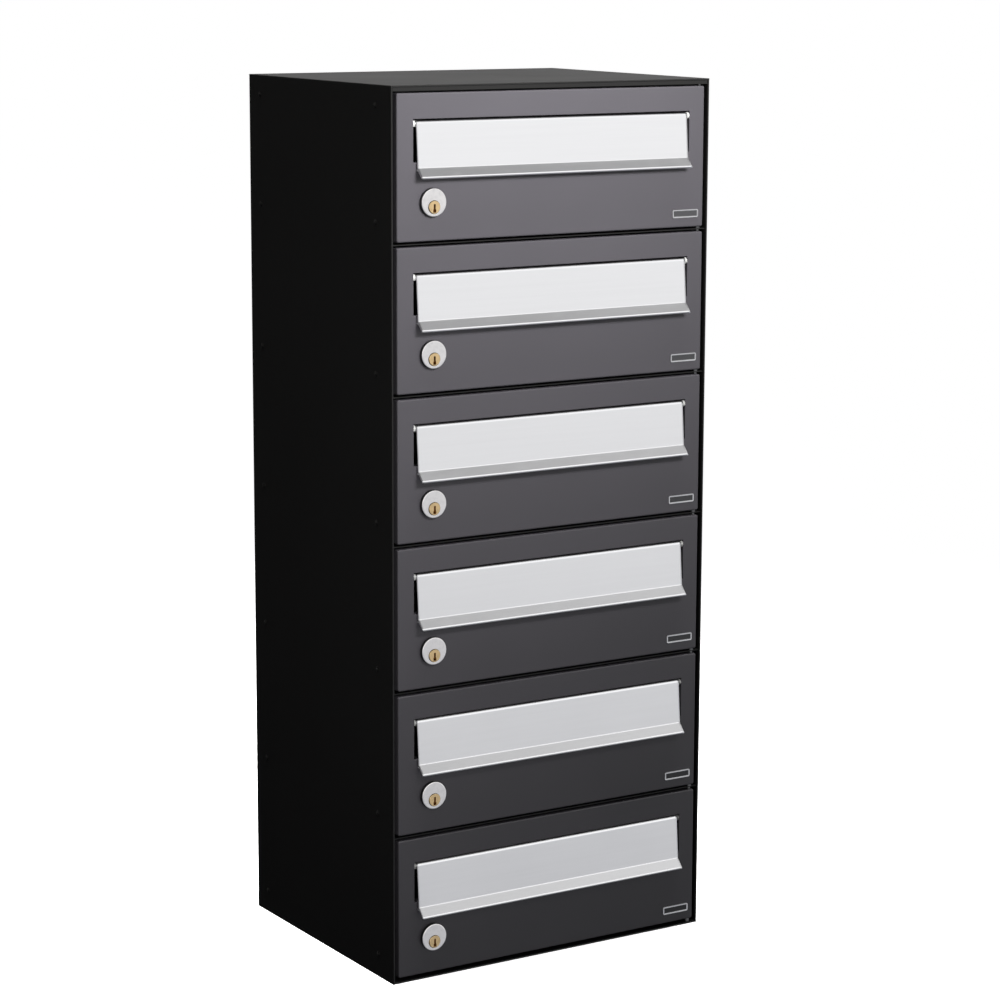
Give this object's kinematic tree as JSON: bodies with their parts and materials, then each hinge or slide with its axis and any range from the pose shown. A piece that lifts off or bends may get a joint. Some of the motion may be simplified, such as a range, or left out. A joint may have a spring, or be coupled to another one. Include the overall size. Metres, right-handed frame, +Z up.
{
  "type": "cluster mailbox unit",
  "caption": "Upright sheet-metal mailbox cabinet with stacked, side-hung lockable doors, each with a wide letter slot under an aluminium drop flap and a cam lock.",
  "frame": {"origin": "Centre of the cabinet's footprint, on the underside of the base sheet.", "axes": "+Z up, the long way of the cabinet. The doors face -Y, so +Y points to the wall behind. +X points to the right as seen from the front, towards the door hinges."},
  "size_m": [0.4018, 0.3288, 0.96],
  "materials": {
    "casing_paint": "black powder coat, fine texture, satin",
    "door_paint": "dark grey powder coat, fine texture, satin",
    "flap_aluminium": "satin anodised extrusion with fine lengthwise lines",
    "bright_steel": "drawn steel rod",
    "bush_plastic": "moulded light grey",
    "lock_nickel": "satin nickel plate",
    "key_brass": "turned brass",
    "zinc_plate": "zinc-plated steel"
  },
  "bodies": {
    "cabinet": {"left_side": "casing_paint", "right_side": "casing_paint", "roof": "casing_paint", "base": "casing_paint", "back_panel": "casing_paint", "shelf_1": "casing_paint", "shelf_2": "casing_paint", "shelf_3": "casing_paint", "shelf_4": "casing_paint", "shelf_5": "casing_paint", "hinge_pins": "bright_steel", "rivets": "casing_paint"},
    "door_1": {"door_1": "door_paint", "flap_bushes_1": "bush_plastic", "lock_body_1": "lock_nickel", "lock_nut_1": "zinc_plate"},
    "flap_1": {"flap_1": "flap_aluminium", "flap_rod_1": "bright_steel"},
    "lock_1": {"lock_plug_1": "key_brass", "lock_cam_1": "zinc_plate"},
    "door_2": {"door_2": "door_paint", "flap_bushes_2": "bush_plastic", "lock_body_2": "lock_nickel", "lock_nut_2": "zinc_plate"},
    "flap_2": {"flap_2": "flap_aluminium", "flap_rod_2": "bright_steel"},
    "lock_2": {"lock_plug_2": "key_brass", "lock_cam_2": "zinc_plate"},
    "door_3": {"door_3": "door_paint", "flap_bushes_3": "bush_plastic", "lock_body_3": "lock_nickel", "lock_nut_3": "zinc_plate"},
    "flap_3": {"flap_3": "flap_aluminium", "flap_rod_3": "bright_steel"},
    "lock_3": {"lock_plug_3": "key_brass", "lock_cam_3": "zinc_plate"},
    "door_4": {"door_4": "door_paint", "flap_bushes_4": "bush_plastic", "lock_body_4": "lock_nickel", "lock_nut_4": "zinc_plate"},
    "flap_4": {"flap_4": "flap_aluminium", "flap_rod_4": "bright_steel"},
    "lock_4": {"lock_plug_4": "key_brass", "lock_cam_4": "zinc_plate"},
    "door_5": {"door_5": "door_paint", "flap_bushes_5": "bush_plastic", "lock_body_5": "lock_nickel", "lock_nut_5": "zinc_plate"},
    "flap_5": {"flap_5": "flap_aluminium", "flap_rod_5": "bright_steel"},
    "lock_5": {"lock_plug_5": "key_brass", "lock_cam_5": "zinc_plate"},
    "door_6": {"door_6": "door_paint", "flap_bushes_6": "bush_plastic", "lock_body_6": "lock_nickel", "lock_nut_6": "zinc_plate"},
    "flap_6": {"flap_6": "flap_aluminium", "flap_rod_6": "bright_steel"},
    "lock_6": {"lock_plug_6": "key_brass", "lock_cam_6": "zinc_plate"}
  },
  "joints": [
    {"name": "door_1_hinge", "type": "hinge", "parent": "cabinet", "child": "door_1", "pos_m": [0.1895, -0.153, 0.87546], "axis": [0, 0, 1], "range_deg": [0, 110]},
    {"name": "flap_1_swing", "type": "hinge", "parent": "door_1", "child": "flap_1", "pos_m": [0, -0.1542, 0.92032], "axis": [-1, 0, 0], "range_deg": [0, 80]},
    {"name": "lock_1_turn", "type": "hinge", "parent": "door_1", "child": "lock_1", "pos_m": [-0.1516, -0.158, 0.83452], "axis": [0, -1, 0], "range_deg": [0, 90]},
    {"name": "door_2_hinge", "type": "hinge", "parent": "cabinet", "child": "door_2", "pos_m": [0.1895, -0.153, 0.71688], "axis": [0, 0, 1], "range_deg": [0, 110]},
    {"name": "flap_2_swing", "type": "hinge", "parent": "door_2", "child": "flap_2", "pos_m": [0, -0.1542, 0.76173], "axis": [-1, 0, 0], "range_deg": [0, 80]},
    {"name": "lock_2_turn", "type": "hinge", "parent": "door_2", "child": "lock_2", "pos_m": [-0.1516, -0.158, 0.67593], "axis": [0, -1, 0], "range_deg": [0, 90]},
    {"name": "door_3_hinge", "type": "hinge", "parent": "cabinet", "child": "door_3", "pos_m": [0.1895, -0.153, 0.55829], "axis": [0, 0, 1], "range_deg": [0, 110]},
    {"name": "flap_3_swing", "type": "hinge", "parent": "door_3", "child": "flap_3", "pos_m": [0, -0.1542, 0.60315], "axis": [-1, 0, 0], "range_deg": [0, 80]},
    {"name": "lock_3_turn", "type": "hinge", "parent": "door_3", "child": "lock_3", "pos_m": [-0.1516, -0.158, 0.51735], "axis": [0, -1, 0], "range_deg": [0, 90]},
    {"name": "door_4_hinge", "type": "hinge", "parent": "cabinet", "child": "door_4", "pos_m": [0.1895, -0.153, 0.39971], "axis": [0, 0, 1], "range_deg": [0, 110]},
    {"name": "flap_4_swing", "type": "hinge", "parent": "door_4", "child": "flap_4", "pos_m": [0, -0.1542, 0.44457], "axis": [-1, 0, 0], "range_deg": [0, 80]},
    {"name": "lock_4_turn", "type": "hinge", "parent": "door_4", "child": "lock_4", "pos_m": [-0.1516, -0.158, 0.35877], "axis": [0, -1, 0], "range_deg": [0, 90]},
    {"name": "door_5_hinge", "type": "hinge", "parent": "cabinet", "child": "door_5", "pos_m": [0.1895, -0.153, 0.24113], "axis": [0, 0, 1], "range_deg": [0, 110]},
    {"name": "flap_5_swing", "type": "hinge", "parent": "door_5", "child": "flap_5", "pos_m": [0, -0.1542, 0.28598], "axis": [-1, 0, 0], "range_deg": [0, 80]},
    {"name": "lock_5_turn", "type": "hinge", "parent": "door_5", "child": "lock_5", "pos_m": [-0.1516, -0.158, 0.20018], "axis": [0, -1, 0], "range_deg": [0, 90]},
    {"name": "door_6_hinge", "type": "hinge", "parent": "cabinet", "child": "door_6", "pos_m": [0.1895, -0.153, 0.08254], "axis": [0, 0, 1], "range_deg": [0, 110]},
    {"name": "flap_6_swing", "type": "hinge", "parent": "door_6", "child": "flap_6", "pos_m": [0, -0.1542, 0.1274], "axis": [-1, 0, 0], "range_deg": [0, 80]},
    {"name": "lock_6_turn", "type": "hinge", "parent": "door_6", "child": "lock_6", "pos_m": [-0.1516, -0.158, 0.0416], "axis": [0, -1, 0], "range_deg": [0, 90]}
  ]
}
